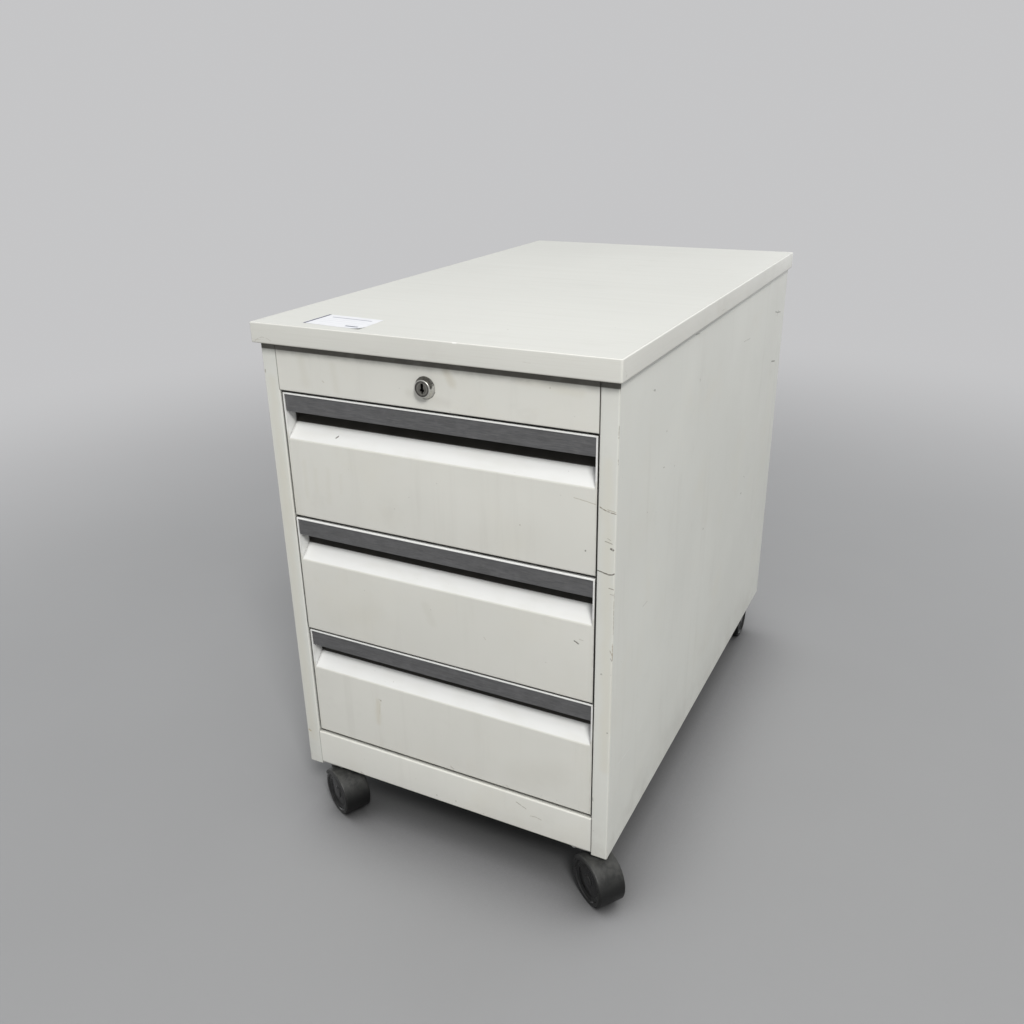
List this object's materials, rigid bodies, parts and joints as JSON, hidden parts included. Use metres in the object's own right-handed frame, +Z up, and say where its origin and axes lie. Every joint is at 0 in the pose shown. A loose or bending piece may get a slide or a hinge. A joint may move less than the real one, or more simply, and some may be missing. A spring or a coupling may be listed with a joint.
{
  "type": "mobile drawer cabinet",
  "caption": "Mobile steel drawer cabinet with recessed grip-strip drawers on full-extension slides, a central front lock and hooded twin-wheel castors.",
  "frame": {"origin": "on the floor, under the centre of the cabinet", "axes": "+Z up, drawers open towards -Y, +X to the right seen from the front"},
  "size_m": [0.4758, 0.7848, 0.667],
  "materials": {
    "painted_steel": "off-white powder coat, satin, lightly worn",
    "laminate_top": "off-white melamine laminate on chipboard",
    "edge_band": "off-white edge band",
    "zinc_steel": "zinc-plated steel",
    "lock_nickel": "satin nickel",
    "grip_metal": "dark anodised, brushed along its length",
    "black_plastic": "black moulded plastic",
    "castor_plastic": "dark grey moulded plastic, satin",
    "castor_wheel": "near-black moulded plastic"
  },
  "bodies": {
    "carcass": {"side_panel_left": "painted_steel", "side_panel_right": "painted_steel", "back_panel": "painted_steel", "bottom_panel": "painted_steel", "front_plinth": "painted_steel", "lock_fascia": "painted_steel", "rear_top_rail": "painted_steel", "top_board": "laminate_top", "top_edge_band": "edge_band", "top_screws": "zinc_steel", "runner_uprights_left": "zinc_steel", "runner_uprights_right": "zinc_steel", "fixed_rails_left": "zinc_steel", "fixed_rails_right": "zinc_steel", "slide_screws": "zinc_steel", "lock_barrel": "lock_nickel", "lock_nut": "zinc_steel", "rod_bracket": "zinc_steel", "lock_bar_guides": "zinc_steel", "castor_plates": "zinc_steel", "castor_stems": "zinc_steel", "castor_screws": "zinc_steel"},
    "drawer_top": {"drawer_front_top": "painted_steel", "grip_strip_top": "grip_metal", "grip_pocket_top": "black_plastic", "drawer_tray_top": "painted_steel", "drawer_rails_top": "zinc_steel"},
    "middle_rails_top": {"middle_rails_top": "zinc_steel"},
    "drawer_middle": {"drawer_front_middle": "painted_steel", "grip_strip_middle": "grip_metal", "grip_pocket_middle": "black_plastic", "drawer_tray_middle": "painted_steel", "drawer_rails_middle": "zinc_steel"},
    "middle_rails_middle": {"middle_rails_middle": "zinc_steel"},
    "drawer_bottom": {"drawer_front_bottom": "painted_steel", "grip_strip_bottom": "grip_metal", "grip_pocket_bottom": "black_plastic", "drawer_tray_bottom": "painted_steel", "drawer_rails_bottom": "zinc_steel"},
    "middle_rails_bottom": {"middle_rails_bottom": "zinc_steel"},
    "lock_cylinder": {"lock_plug": "lock_nickel", "lock_rod": "zinc_steel"},
    "lock_bar": {"lock_bar": "zinc_steel"},
    "castor_front_right": {"castor_hood_front_right": "castor_plastic", "castor_axle_front_right": "zinc_steel"},
    "wheel_a_front_right": {"castor_wheel_a_front_right": "castor_wheel"},
    "wheel_b_front_right": {"castor_wheel_b_front_right": "castor_wheel"},
    "castor_front_left": {"castor_hood_front_left": "castor_plastic", "castor_axle_front_left": "zinc_steel"},
    "wheel_a_front_left": {"castor_wheel_a_front_left": "castor_wheel"},
    "wheel_b_front_left": {"castor_wheel_b_front_left": "castor_wheel"},
    "castor_rear_right": {"castor_hood_rear_right": "castor_plastic", "castor_axle_rear_right": "zinc_steel"},
    "wheel_a_rear_right": {"castor_wheel_a_rear_right": "castor_wheel"},
    "wheel_b_rear_right": {"castor_wheel_b_rear_right": "castor_wheel"},
    "castor_rear_left": {"castor_hood_rear_left": "castor_plastic", "castor_axle_rear_left": "zinc_steel"},
    "wheel_a_rear_left": {"castor_wheel_a_rear_left": "castor_wheel"},
    "wheel_b_rear_left": {"castor_wheel_b_rear_left": "castor_wheel"}
  },
  "joints": [
    {"name": "drawer_slide_top", "type": "slide", "parent": "carcass", "child": "drawer_top", "axis": [0, -1, 0], "range_m": [0, 0.6]},
    {"name": "middle_rail_slide_top", "type": "slide", "parent": "carcass", "child": "middle_rails_top", "axis": [0, -1, 0], "range_m": [0, 0.3]},
    {"name": "drawer_slide_middle", "type": "slide", "parent": "carcass", "child": "drawer_middle", "axis": [0, -1, 0], "range_m": [0, 0.6]},
    {"name": "middle_rail_slide_middle", "type": "slide", "parent": "carcass", "child": "middle_rails_middle", "axis": [0, -1, 0], "range_m": [0, 0.3]},
    {"name": "drawer_slide_bottom", "type": "slide", "parent": "carcass", "child": "drawer_bottom", "axis": [0, -1, 0], "range_m": [0, 0.6]},
    {"name": "middle_rail_slide_bottom", "type": "slide", "parent": "carcass", "child": "middle_rails_bottom", "axis": [0, -1, 0], "range_m": [0, 0.3]},
    {"name": "lock_bar_slide", "type": "slide", "parent": "carcass", "child": "lock_bar", "axis": [0, 0, 1], "range_m": [0, 0.01131]},
    {"name": "lock_turn", "type": "hinge", "parent": "carcass", "child": "lock_cylinder", "pos_m": [0, -0.369, 0.614], "axis": [0, 1, 0], "range_deg": [0, 90]},
    {"name": "castor_swivel_front_right", "type": "hinge", "parent": "carcass", "child": "castor_front_right", "pos_m": [0.185, -0.348, 0.067], "axis": [0, 0, 1], "continuous": true},
    {"name": "wheel_spin_a_front_right", "type": "hinge", "parent": "castor_front_right", "child": "wheel_a_front_right", "pos_m": [0.20138, -0.35947, 0.03], "axis": [0.5736, 0.8192, 0], "continuous": true},
    {"name": "wheel_spin_b_front_right", "type": "hinge", "parent": "castor_front_right", "child": "wheel_b_front_right", "pos_m": [0.20138, -0.35947, 0.03], "axis": [0.5736, 0.8192, 0], "continuous": true},
    {"name": "castor_swivel_front_left", "type": "hinge", "parent": "carcass", "child": "castor_front_left", "pos_m": [-0.185, -0.348, 0.067], "axis": [0, 0, 1], "continuous": true},
    {"name": "wheel_spin_a_front_left", "type": "hinge", "parent": "castor_front_left", "child": "wheel_a_front_left", "pos_m": [-0.16718, -0.35708, 0.03], "axis": [0.454, 0.891, 0], "continuous": true},
    {"name": "wheel_spin_b_front_left", "type": "hinge", "parent": "castor_front_left", "child": "wheel_b_front_left", "pos_m": [-0.16718, -0.35708, 0.03], "axis": [0.454, 0.891, 0], "continuous": true},
    {"name": "castor_swivel_rear_right", "type": "hinge", "parent": "carcass", "child": "castor_rear_right", "pos_m": [0.185, 0.348, 0.067], "axis": [0, 0, 1], "continuous": true},
    {"name": "wheel_spin_a_rear_right", "type": "hinge", "parent": "castor_rear_right", "child": "wheel_a_rear_right", "pos_m": [0.185, 0.328, 0.03], "axis": [1, 0, 0], "continuous": true},
    {"name": "wheel_spin_b_rear_right", "type": "hinge", "parent": "castor_rear_right", "child": "wheel_b_rear_right", "pos_m": [0.185, 0.328, 0.03], "axis": [1, 0, 0], "continuous": true},
    {"name": "castor_swivel_rear_left", "type": "hinge", "parent": "carcass", "child": "castor_rear_left", "pos_m": [-0.185, 0.348, 0.067], "axis": [0, 0, 1], "continuous": true},
    {"name": "wheel_spin_a_rear_left", "type": "hinge", "parent": "castor_rear_left", "child": "wheel_a_rear_left", "pos_m": [-0.20138, 0.35947, 0.03], "axis": [-0.5736, -0.8192, 0], "continuous": true},
    {"name": "wheel_spin_b_rear_left", "type": "hinge", "parent": "castor_rear_left", "child": "wheel_b_rear_left", "pos_m": [-0.20138, 0.35947, 0.03], "axis": [-0.5736, -0.8192, 0], "continuous": true}
  ],
  "couplings": [
    {"joint": "middle_rail_slide_top", "follows": "drawer_slide_top", "ratio": 0.5},
    {"joint": "middle_rail_slide_middle", "follows": "drawer_slide_middle", "ratio": 0.5},
    {"joint": "middle_rail_slide_bottom", "follows": "drawer_slide_bottom", "ratio": 0.5},
    {"joint": "lock_turn", "follows": "lock_bar_slide", "rad_per_m": 138.84}
  ]
}
